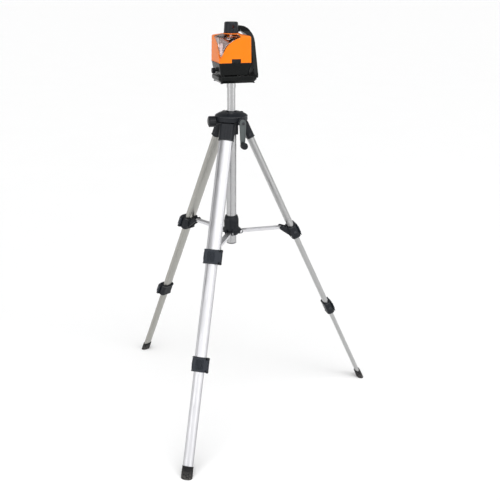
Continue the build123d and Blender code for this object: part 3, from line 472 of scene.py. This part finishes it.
def oval(half_x, half_y, grooves=(), depth=0.0, count=144):
    """Oval outline with lengthwise grooves sunk at shares of its half width."""
    points = []
    for i in range(count):
        turn = 2 * math.pi * i / count
        x, y = math.cos(turn), math.sin(turn)
        sunk = depth if any(abs(x - groove) < 0.035 for groove in grooves) else 0.0
        points.append((half_x * x * (1 - sunk / half_x), half_y * y * (1 - sunk / half_y)))
    return points


def rounded_rectangle(width, depth, radius, corner_steps=8):
    """Outline of a rectangle with rounded corners."""
    points = []
    for corner in range(4):
        centre_x = (width / 2 - radius) * (1 if corner in (0, 3) else -1)
        centre_y = (depth / 2 - radius) * (1 if corner in (0, 1) else -1)
        for i in range(corner_steps + 1):
            turn = math.pi / 2 * (corner + i / corner_steps)
            points.append((centre_x + radius * math.cos(turn), centre_y + radius * math.sin(turn)))
    return points


# ---- tripod ----
TUBE_WALL = 1.1 * MM
CRANK_LENGTH = (joints["crank_turn"]["pos_m"][2] - joints["crank_grip_spin"]["pos_m"][2]) / MM
LOCK_LENGTH = 33
LOCK_SIZE = {"upper": (39.5, 21.5), "lower": (35.5, 18.6)}  # width and depth of the collars
CRANK_THICK = 5.0
CRANK_RADII = (7.8, 5.2)  # hub end and grip end of the arm
PIN_HEAD = [(0.2, -0.4), (2.3, -0.4), (2.3, 0.5), (1.7, 0.95), (0.1, 1.1)]


def leg_tube(leg, part, body):
    """Extruded leg section with guide grooves, instead of the plain oval."""
    node = f"{part}_tube_{leg}"
    low, high = extent(node, LEG[leg])
    half_x, half_y = (high.x - low.x) / 2, (high.y - low.y) / 2
    piece = Piece()
    outer = oval(half_x, half_y, (-0.72, 0.72), 0.45 * MM)
    inner = oval(half_x - TUBE_WALL, half_y - TUBE_WALL)
    levels = ((outer, low.z), (outer, high.z), (inner, high.z), (inner, low.z))
    sections = [[LEG[leg] @ Vector((x, y, z)) for x, y in ring] for ring, z in levels]
    piece.loft(sections, "join")
    made = piece.finish(f"{node}_extrusion", TUBE_LOOKS_WITH_PAINTED_SHADE[leg], body, "leg_tube", 24)
    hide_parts(node)


def lever_ribs(leg, part, body):
    """Grip ribs on the outer face of a lock lever."""
    low, high = extent(f"{part}_lock_lever_{leg}", LEG[leg])
    piece = Piece()
    face = high.y - 0.75 * MM
    middle = (low.z + high.z) / 2
    for i in range(6):
        x = low.x + (9.5 + 3.1 * i) * MM
        place = LEG[leg] @ Matrix.Translation((x, face, middle)) @ turned(90, "Y") @ turned(-90, "X")
        piece.ridge(place, 23 * MM, 1.6 * MM, 1.1 * MM)
    piece.finish(f"{part}_lever_ribs_{leg}", LOOKS["lever"], body, "lever")


def lock_trim(leg, part, body):
    """Hinge pin heads, clamp screw and moulded rims of a leg lock."""
    high = extent(f"{part}_lock_collar_{leg}", LEG[leg])[1]
    width, depth = LOCK_SIZE[part]
    hinge = LEG[leg].inverted() @ Vector(joints[f"{part}_lever_flip_{leg}"]["pos_m"])
    start, end = high.z - LOCK_LENGTH * MM, high.z
    pins = Piece()
    for z, turn in ((start, 180), (end, 0)):
        place = LEG[leg] @ Matrix.Translation((hinge.x, hinge.y, z)) @ turned(turn, "X")
        pins.lathe(place, PIN_HEAD, 28)
    side = LEG[leg] @ Matrix.Translation((-width / 2 * MM, 0, (start + end) / 2)) @ turned(-90, "Y")
    pins.screw(side, 3.0 * MM, 1.4 * MM)
    pins.finish(f"{part}_lock_pins_{leg}", LOOKS["blackened"], body, "steel")
    rims = Piece()
    for z in (start + 1.3 * MM, end - 1.3 * MM):
        path = [(x * MM, y * MM, z) for x, y in rounded_rectangle(width, depth, 8) if y < 0]
        path = [(-width / 2 * MM, 0.3 * depth * MM, z), *path, (width / 2 * MM, 0.1 * depth * MM, z)]
        rims.bar(LEG[leg], path, 0.95)
    rims.finish(f"{part}_lock_rims_{leg}", LOOKS["gloss"], body, "moulding")


def foot_sleeve(leg, body):
    """Rubber foot with moulded rings and a flat sole."""
    node = f"foot_{leg}"
    low, high = extent(node, LEG[leg])
    piece = Piece()
    rings = []
    length = high.z - low.z
    steps = 44
    for i in range(steps + 1):
        share = i / steps
        grip = 0.45 * MM * (0.5 + 0.5 * math.cos(share * 2 * math.pi * 6)) if 0.2 < share < 0.75 else 0.0
        lip = 0.5 * MM * max(0.0, 1 - abs(share - 0.06) / 0.06)
        half_x = (13.2 + 0.5 * share) * MM - 0.5 * MM + grip + lip
        half_y = (7.6 + 0.9 * share) * MM - 0.5 * MM + grip + lip
        ring = []
        for x, y in oval(half_x, half_y, count=72):
            point = LEG[leg] @ Vector((x, y, low.z + share * length))
            if point.z < 0:
                down = LEG[leg].col[2].to_3d()
                point -= down * (point.z / down.z)
            ring.append(point)
        rings.append(ring)
    piece.loft(rings)
    made = piece.finish(f"foot_{leg}_sleeve", LOOKS["foot_rubber"], body, "foot_rubber", 40)
    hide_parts(node)


def build_legs():
    for leg in LEGS:
        leg_tube(leg, "upper", f"leg_{leg}")
        leg_tube(leg, "middle", f"leg_{leg}_middle")
        leg_tube(leg, "lower", f"leg_{leg}_lower")
        lever_ribs(leg, "upper", f"upper_lever_{leg}")
        lever_ribs(leg, "lower", f"lower_lever_{leg}")
        lock_trim(leg, "upper", f"leg_{leg}")
        lock_trim(leg, "lower", f"leg_{leg}_middle")
        socket_screws(leg)
        foot_sleeve(leg, f"leg_{leg}_lower")


def shoulder_trim():
    """Rim bead, bush ring, screws over the legs and heads of the leg pivots."""
    top = extent("shoulder", COLUMN)[1].z / MM
    trim = Piece()
    trim.bead(COLUMN, 37.7, top - 9.4, 0.8, 128)
    trim.bead(COLUMN, 16.2, top - 0.1, 0.7)
    crank = outward_frame("crank_turn")
    trim.bead(crank, 8.2, extent("crank_arm", crank)[0].z / MM - 1.4, 0.7, 48)
    lock = outward_frame("column_lock_turn")
    trim.bead(lock, 6.9, 37.6, 0.6, 48)
    trim.finish("shoulder_trim", LOOKS["gloss"], "root", "moulding")
    metal = Piece()
    for leg in LEGS:
        outward = LEG[leg].col[2].to_3d()
        azimuth = math.degrees(math.atan2(outward.y, outward.x))
        over_leg = COLUMN @ turned(azimuth, "Z") @ at(25.5, 0, top - 1.9)
        metal.screw(over_leg @ turned(14, "Y"), 3.1 * MM, 1.5 * MM)
        for side in (-1, 1):
            across = LEG[leg] @ at(13 * side, 0, 0) @ turned(90 * side, "Y")
            metal.lathe(across, [(0.2, -0.4), (3.5, -0.4), (3.5, 0.6), (2.7, 1.2), (0.1, 1.4)], 36)
    metal.finish("shoulder_screws", LOOKS["blackened"], "root", "steel")


def crank_detail():
    """Cast crank arm with a sunk web, its screw, and a ribbed grip."""
    place = outward_frame("crank_turn")
    length = CRANK_LENGTH
    start, thick = extent("crank_arm", place)[0].z / MM, CRANK_THICK

    def outline(inset):
        """Two arcs joined by the arm's straight sides."""
        points = []
        for centre, radius, first in ((0.0, CRANK_RADII[0], 0), (-length, CRANK_RADII[1], 180)):
            for i in range(25):
                turn = math.radians(first + 180 * i / 24)
                points.append((radius * math.cos(turn) * (1 - inset / radius),
                               centre + radius * math.sin(turn) * (1 - inset / radius)))
        return points

    piece = Piece()
    layers = ((0.6, 0.0), (0.0, 0.6), (0.0, thick - 1.0), (0.3, thick - 0.3), (1.0, thick), (1.9, thick),
              (2.3, thick - 0.4), (2.5, thick - 1.6))
    rings = []
    for inset, z in layers:
        rings.append([place @ Vector((x * MM, y * MM, (start + z) * MM)) for x, y in outline(inset)])
    piece.loft(rings)
    hub = [(0.2, -1.8), (5.4, -1.8), (5.4, 0.2), (4.9, 0.7), (0.2, 0.7)]
    piece.lathe(place @ at(0, 0, start + thick), hub)
    stud = place @ at(0, -length, start + thick)
    piece.lathe(stud, [(0.1, -1.8), (4.6, -1.8), (4.6, 0.1), (2.0, 0.25), (2.0, 12.2), (0.1, 12.2)])
    made = piece.finish("crank_arm_casting", LOOKS["crank"], "crank", "crank")
    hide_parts("crank_arm")
    metal = Piece()
    metal.screw(place @ at(0, 0, start + thick + 0.6), 3.6 * MM, 1.7 * MM)
    metal.finish("crank_screw", LOOKS["blackened"], "crank", "steel")
    grip_low, grip_high = extent("crank_grip", place)
    grip = Piece()
    middle = (grip_low.z + grip_high.z) / 2 / MM
    centre = place @ at(0, -length, 0)
    grip.ribs(centre, 7.3, middle, range(0, 360, 24), 10.5, 1.7, 0.55)
    grip.bead(centre, 4.6, grip_high.z / MM, 0.4, 40)
    grip.finish("crank_grip_ribs", LOOKS["knob"], "crank_grip", "knob")


def column_lock_detail():
    """Dished cap on the lock knob."""
    place = outward_frame("column_lock_turn")
    high = extent("column_lock_knob", place)[1]
    cap = Piece()
    dish = [(0.1, -0.4), (9.6, -0.4), (9.6, 0.4), (9.0, 0.8), (7.6, 0.8), (7.0, 0.3), (2.4, 0.15),
            (2.0, 0.55), (0.1, 0.7)]
    cap.lathe(place @ at(0, 0, high.z / MM), dish)
    cap.finish("column_lock_cap", LOOKS["knob"], "column_lock", "knob")


def brace_detail():
    """Hub ribs, pin heads and the stiffening beads of the struts."""
    hub_low, hub_high = extent("brace_hub", COLUMN)
    bottom, top = hub_low.z / MM, hub_high.z / MM
    ribs = Piece()
    heads = Piece()
    for leg in LEGS:
        hinge = joints[f"strut_hinge_{leg}"]
        outward = LEG[leg].col[2].to_3d()
        azimuth = math.degrees(math.atan2(outward.y, outward.x))
        gap = [azimuth + 60 + step for step in range(-27, 28, 9)]
        ribs.ribs(COLUMN, 17.3, (bottom + top) / 2 - 3, gap, 30, 1.5, 0.8)
        for side in (-1, 1):
            across = placed(hinge["pos_m"], LEG[leg].col[1].to_3d(), UP, Vector(hinge["axis"]))
            head = Matrix.Translation(Vector(hinge["axis"]) * side * 9.5 * MM) @ across
            head = head @ turned(0 if side > 0 else 180, "X")
            heads.lathe(head, [(0.2, -0.4), (3.2, -0.4), (3.2, 0.4), (2.4, 0.9), (0.1, 1.1)], 32)
        low, high = extent(f"brace_strut_{leg}", COLUMN @ turned(azimuth, "Z"))
        bead = Piece()
        middle = COLUMN @ turned(azimuth, "Z") @ Matrix.Translation(((low.x + high.x) / 2, 0, high.z))
        bead.ridge(middle, high.x - low.x - 34 * MM, 4.6 * MM, 0.9 * MM)
        bead.finish(f"strut_bead_{leg}", STRUT_LOOKS[leg], f"strut_{leg}", "strut")
    ribs.bead(COLUMN, 14.5, top - 0.1, 0.8)
    ribs.bead(COLUMN, 15.5, bottom + 0.4, 0.7)
    ribs.finish("brace_hub_ribs", LOOKS["moulding"], "hub", "moulding")
    heads.finish("brace_pin_heads", LOOKS["steel"], "hub", "steel")


def socket_screws(leg):
    """Screws that hold the tube in its socket, and a moulded lip at the socket's mouth."""
    high = extent(f"leg_socket_{leg}", LEG[leg])[1]
    metal = Piece()
    for side in (-1, 1):
        place = LEG[leg] @ Matrix.Translation((side * 17.0 * MM, 0, high.z - 9 * MM))
        metal.screw(place @ turned(90 * side, "Y"), 2.6 * MM, 1.1 * MM)
    metal.finish(f"leg_socket_screws_{leg}", LOOKS["blackened"], f"leg_{leg}", "steel")
    lip = Piece()
    path = [(x * MM, y * MM, high.z - 1.2 * MM) for x, y in rounded_rectangle(35.0, 18.2, 7)]
    lip.bar(LEG[leg], [*path, path[0], path[1]], 0.9)
    lip.finish(f"leg_socket_lip_{leg}", LOOKS["gloss"], f"leg_{leg}", "moulding")


# ---- laser ----
SEAM = 44.6
ROOF_TOP = 106.0
APERTURE_HEIGHT = 121.5
WINDOW_FLARE = ((50.0, 0.0), (71.5, 12.0), (89.5, 28.0), (99.3, 49.0))  # height, radius about the corner
ROTOR_SEAT = 19.1
BELL_RANGE = (60.0, 97.5)  # heights of the metallised bell
BELL_GAP = 1.3  # inside the window's trumpet
BELL_WALL = 0.7
UPRIGHT_TOP = 95  # height where the bracket is widest
UPRIGHT_SLOPE = 0.0096


def shell_surface():
    """Ray caster on the outside of the laser's upper housing, in the laser's frame."""
    inverse = LASER.inverted()
    points, faces = [], []
    for name in ("housing_shell", "corner_window"):
        mesh = nodes[name].data
        offset = len(points)
        points += [inverse @ vertex.co for vertex in mesh.vertices]
        faces += [[offset + i for i in polygon.vertices] for polygon in mesh.polygons]
    return BVHTree.FromPolygons(points, faces)


def flare_radius(height):
    """Radius of the window's trumpet at a height, smoothed between its waypoints."""
    heights = [h for h, radius in WINDOW_FLARE]
    radii = [radius for h, radius in WINDOW_FLARE]
    curve = np.polyfit(heights, radii, 3)
    return float(np.polyval(curve, height))


def window_frame():
    """Raised orange lip along the window's edge and round the rotor's seat."""
    surface = shell_surface()
    low = extent("housing_shell", LASER)[0]
    corner = Vector((low.x, low.y))
    piece = Piece()
    last = WINDOW_FLARE[-1][1]
    for front in (True, False):
        path = []
        for i in range(25):
            height = 51.5 + (WINDOW_FLARE[-1][0] - 51.5) * i / 24
            reach = flare_radius(height) * MM
            if front:
                start, way = Vector((corner.x + reach, -0.1, height * MM)), Vector((0, 1, 0))
            else:
                start, way = Vector((-0.1, corner.y + reach, height * MM)), Vector((1, 0, 0))
            hit = surface.ray_cast(start, way)[0]
            if hit:
                path.append(hit - way * 0.1 * MM)
        for i in range(1, 30):
            turn = math.radians(2 * i if front else 90 - 2 * i)
            spot = corner + Vector((math.cos(turn), math.sin(turn))) * last * MM
            if spot.length < (ROTOR_SEAT + 0.4) * MM:
                break
            hit = surface.ray_cast(Vector((*spot, 0.2)), -UP)[0]
            if hit:
                path.append(hit + UP * 0.1 * MM)
        piece.bar(LASER, path, 0.55)
    path = []
    for i in range(49):
        turn = 2 * math.pi * i / 48
        spot = Vector((math.cos(turn), math.sin(turn))) * ROTOR_SEAT * MM
        roof = surface.ray_cast(Vector((*spot * 0.97, 0.2)), -UP)[0]
        path.append(Vector((*spot, roof.z + 0.1 * MM)))
    piece.bar(LASER, path, 0.5)
    piece.finish("window_frame_lip", LOOKS["laser_shell"], "laser", "laser_shell")


def corner_optics():
    """Metallised bell under the window's edge, with the level's light guide in the corner."""
    low = extent("housing_shell", LASER)[0]
    wall = 3.2
    bell = Piece()
    rings = []
    for i in range(27):
        height = BELL_RANGE[0] + (BELL_RANGE[1] - BELL_RANGE[0]) * i / 26
        radius = flare_radius(height) - BELL_GAP
        inset = math.degrees(math.asin(min(wall / radius, 0.6)))
        turns = [math.radians(inset + (90 - 2 * inset) * k / 24) for k in range(25)]
        outer = [(radius * math.cos(turn), radius * math.sin(turn)) for turn in turns]
        back = radius - BELL_WALL
        inner = [(back * math.cos(turn), back * math.sin(turn)) for turn in reversed(turns)]
        ring = [Vector((low.x + x * MM, low.y + y * MM, height * MM)) for x, y in outer + inner]
        rings.append([LASER @ point for point in ring])
    bell.loft(rings)
    bell.finish("corner_reflector", LOOKS["reflector"], "laser", "reflector")
    guide = Piece()
    place = LASER @ Matrix.Translation((low.x + 5.9 * MM, low.y + 5.9 * MM, 0))
    guide.lathe(place, [(0.3, 54), (1.3, 56), (2.2, 62), (2.7, 70), (2.9, 84), (2.2, 87), (0.3, 88)], 32)
    guide.bead(place, 2.9, 76, 0.35, 32)
    guide.finish("corner_light_guide", LOOKS["guide"], "laser", "reflector")


def shell_trim():
    """Gasket at the seam, bottom lip of the orange cover, seal under the rotor."""
    gasket = Piece()
    path = [(x * MM, y * MM, SEAM * MM) for x, y in rounded_rectangle(75.3, 72.3, 6.5)]
    gasket.bar(LASER, [*path, path[0], path[1]], 0.4)
    gasket.finish("seam_gasket", LOOKS["foot_rubber"], "laser", "foot_rubber")
    lip = Piece()
    around = [(x * MM, y * MM, (SEAM + 1.6) * MM) for x, y in rounded_rectangle(75.2, 72.2, 5)]
    start = [point for point in around if point[0] > 0 and point[1] < -30 * MM]
    rest = [point for point in around if point not in start]
    path = [(12.4 * MM, around[-1][1], around[-1][2]), *start, *rest]
    path.append((-10.0 * MM, around[-1][1], around[-1][2]))
    lip.bar(LASER, path, 0.6)
    lip.finish("shell_lip", LOOKS["laser_shell"], "laser", "laser_shell")
    seal = Piece()
    seal.bead(LASER, 17.3, ROOF_TOP + 1.1, 0.4)
    seal.finish("rotor_seal", LOOKS["seal"], "laser", "laser_shell")


def rotor_detail():
    """Aperture bezel and lens, and the rotor's dished cap."""
    top = extent("rotor_head", LASER)[1].z / MM
    cap = Piece()
    cap.bead(LASER, 9.6, top - 0.5, 0.45, 64)
    cap.bead(LASER, 5.2, top - 0.4, 0.35, 48)
    aperture = LASER @ at(0, -15.6, APERTURE_HEIGHT) @ turned(90, "X")
    bezel = [(2.85, -1.0), (3.9, -1.0), (3.9, 0.7), (3.5, 1.0), (3.0, 1.0), (2.85, 0.7)]
    cap.lathe(aperture, bezel, 40, "join")
    cap.finish("rotor_cap_rings", LOOKS["laser_head"], "rotor", "laser_head")
    lens = Piece()
    dome = [(0.1, -1.9), (2.7, -1.9), (2.7, -0.9), (2.0, -0.55), (1.0, -0.35), (0.1, -0.3)]
    lens.lathe(aperture, dome, 40)
    lens.finish("aperture_lens", LOOKS["lens"], "rotor", "window")
    screw = Piece()
    screw.screw(LASER @ at(0, 0, top - 1.15), 2.2 * MM, 1.1 * MM)
    screw.finish("rotor_screw", LOOKS["steel"], "rotor", "steel")


def upright(y, height):
    """Frame on the outer face of the bracket's upright, Z pointing outward."""
    widest = extent("mount_bracket", LASER)[1].x / MM
    out = widest - UPRIGHT_SLOPE * (UPRIGHT_TOP - height)
    return LASER @ at(out, y, height) @ turned(90 + math.degrees(math.atan(UPRIGHT_SLOPE)), "Y")


def bracket_detail():
    """Screws under the base and on the upright, and the upright's stiffening ribs."""
    metal = Piece()
    for x in (-31, 45):
        for y in (-28, 28):
            metal.screw(LASER @ at(x, y, 0.2) @ turned(180, "X"), 2.8 * MM, 1.2 * MM)
    for height in (26, 80):
        metal.screw(upright(8, height), 2.9 * MM, 1.2 * MM)
    metal.finish("bracket_screws", LOOKS["blackened"], "laser", "steel")
    ribs = Piece()
    for y in (-9, 26):
        ribs.ridge(upright(y, 52), 56 * MM, 2.0 * MM, 0.8 * MM)
    ribs.finish("bracket_ribs", LOOKS["laser_base"], "laser", "laser_base")


def control_detail():
    """Ridges on the switch and battery door, pointer on the side knob."""
    low, high = extent("power_switch", LASER)
    switch = Piece()
    for step in range(4):
        place = LASER @ at(-4.0 + 2.2 * step, low.y / MM + 0.1, SEAM + 4.4)
        switch.ridge(place @ turned(90, "X") @ turned(90, "Z"), 5.6 * MM, 1.1 * MM, 0.6 * MM)
    switch.finish("switch_ridges", LOOKS["switch"], "power_switch", "switch")
    low, high = extent("battery_door", LASER)
    door = Piece()
    for step in range(5):
        height = high.z / MM - 4.2 - 2.3 * step
        back = high.y / MM - 0.14 * (high.z / MM - height)
        door.ridge(LASER @ at(0, back - 0.1, height) @ turned(-90, "X"), 20 * MM, 1.3 * MM, 0.7 * MM)
    door.finish("battery_door_ridges", LOOKS["laser_base"], "battery_door", "laser_base")
    low, high = extent("side_knob", LASER)
    knob = Piece()
    middle = Vector(joints["side_knob_turn"]["pos_m"])
    face = LASER.inverted() @ middle
    place = LASER @ Matrix.Translation((low.x, face.y, face.z)) @ turned(-90, "Y")
    knob.ridge(place, 9.0 * MM, 1.6 * MM, 0.9 * MM)
    knob.finish("side_knob_pointer", LOOKS["knob"], "side_knob", "knob")


# ---- camera, lights and floor ----
CAMERA_HEADING = 14.28  # degrees, counter-clockwise from +Y
CAMERA_PITCH = 20.05
CAMERA_ROLL = 0.43
CAMERA_LENS = 53.84
CAMERA_FROM_COLUMN = (0.4738, -1.6757, 1.0437)
WORLD_STRENGTH = 0.38  # overhead; it rises to 1 at the horizon
FLOOR_SIZE = 120


def build_camera():
    data = bpy.data.cameras.new("camera")
    data.lens = CAMERA_LENS
    data.sensor_width = 36.0
    data.clip_end = 100.0
    camera = bpy.data.objects.new("camera", data)
    bpy.context.scene.collection.objects.link(camera)
    aim = turned(CAMERA_HEADING, "Z") @ turned(90 - CAMERA_PITCH, "X") @ turned(CAMERA_ROLL, "Z")
    camera.matrix_world = COLUMN @ Matrix.Translation(CAMERA_FROM_COLUMN) @ aim
    bpy.context.scene.camera = camera


def aimed(data, name, bearing, height, distance=2.4, target=0.6):
    """Light at a bearing from the camera's side of the object, aimed at a height on the column."""
    light = bpy.data.objects.new(name, data)
    bpy.context.scene.collection.objects.link(light)
    turn = math.radians(CAMERA_HEADING - 90 + bearing)
    centre = COLUMN.to_translation()
    place = centre + Vector((distance * math.cos(turn), distance * math.sin(turn), height))
    light.location = place
    aim = centre + Vector((0, 0, target)) - place
    light.rotation_euler = aim.to_track_quat("-Z", "Y").to_euler()


def area_light(name, bearing, height, size, power, distance=2.4, target=0.6, spread=180):
    """Soft box, in metres and watts."""
    data = bpy.data.lights.new(name, "AREA")
    data.shape = "RECTANGLE"
    data.size, data.size_y = size
    data.energy = power
    data.spread = math.radians(spread)
    aimed(data, name, bearing, height, distance, target)


def overhead_light(name, bearing, height, strength, spread):
    """Very broad overhead light that reaches the whole floor evenly."""
    data = bpy.data.lights.new(name, "SUN")
    data.energy = strength
    data.angle = math.radians(spread)
    aimed(data, name, bearing, height)


def build_stage():
    world = bpy.data.worlds.new("studio")
    bpy.context.scene.world = world
    world.use_nodes = True
    background = world.node_tree.nodes["Background"]
    background.inputs["Color"].default_value = (1.0, 1.0, 1.0, 1.0)
    tree = world.node_tree
    height = tree.nodes.new("ShaderNodeSeparateXYZ")
    fade = tree.nodes.new("ShaderNodeMapRange")
    for name, value in (("From Min", 0.04), ("From Max", 0.16), ("To Min", 1.0), ("To Max", WORLD_STRENGTH)):
        fade.inputs[name].default_value = value
    tree.links.new(tree.nodes.new("ShaderNodeTexCoord").outputs["Generated"], height.inputs[0])
    tree.links.new(height.outputs["Z"], fade.inputs["Value"])
    tree.links.new(fade.outputs[0], background.inputs["Strength"])
    overhead_light("overhead", 10, 3.1, 3.0, spread=84)
    area_light("right", 62, 1.1, (0.5, 1.6), 7)
    area_light("left", -46, 0.7, (1.2, 1.2), 1.0, target=0.3, spread=50)
    bpy.ops.mesh.primitive_plane_add(size=FLOOR_SIZE, location=(0, 0, 0))
    floor = bpy.context.object
    floor.name = "floor"
    look = Look("floor_paper", (0.93, 0.93, 0.93), 0.9, Specular_IOR_Level=0.1)
    base = look.mix(look.noise(3, 3), (0.925, 0.925, 0.925, 1), (0.94, 0.94, 0.94, 1))
    floor.data.materials.append(look.finish(base))
    view = bpy.context.scene.view_settings
    view.view_transform = "Standard"
    view.exposure = 0.0


build_camera()
build_stage()
dress_cad_nodes()
build_legs()
shoulder_trim()
crank_detail()
column_lock_detail()
brace_detail()
window_frame()
corner_optics()
shell_trim()
rotor_detail()
bracket_detail()
control_detail()
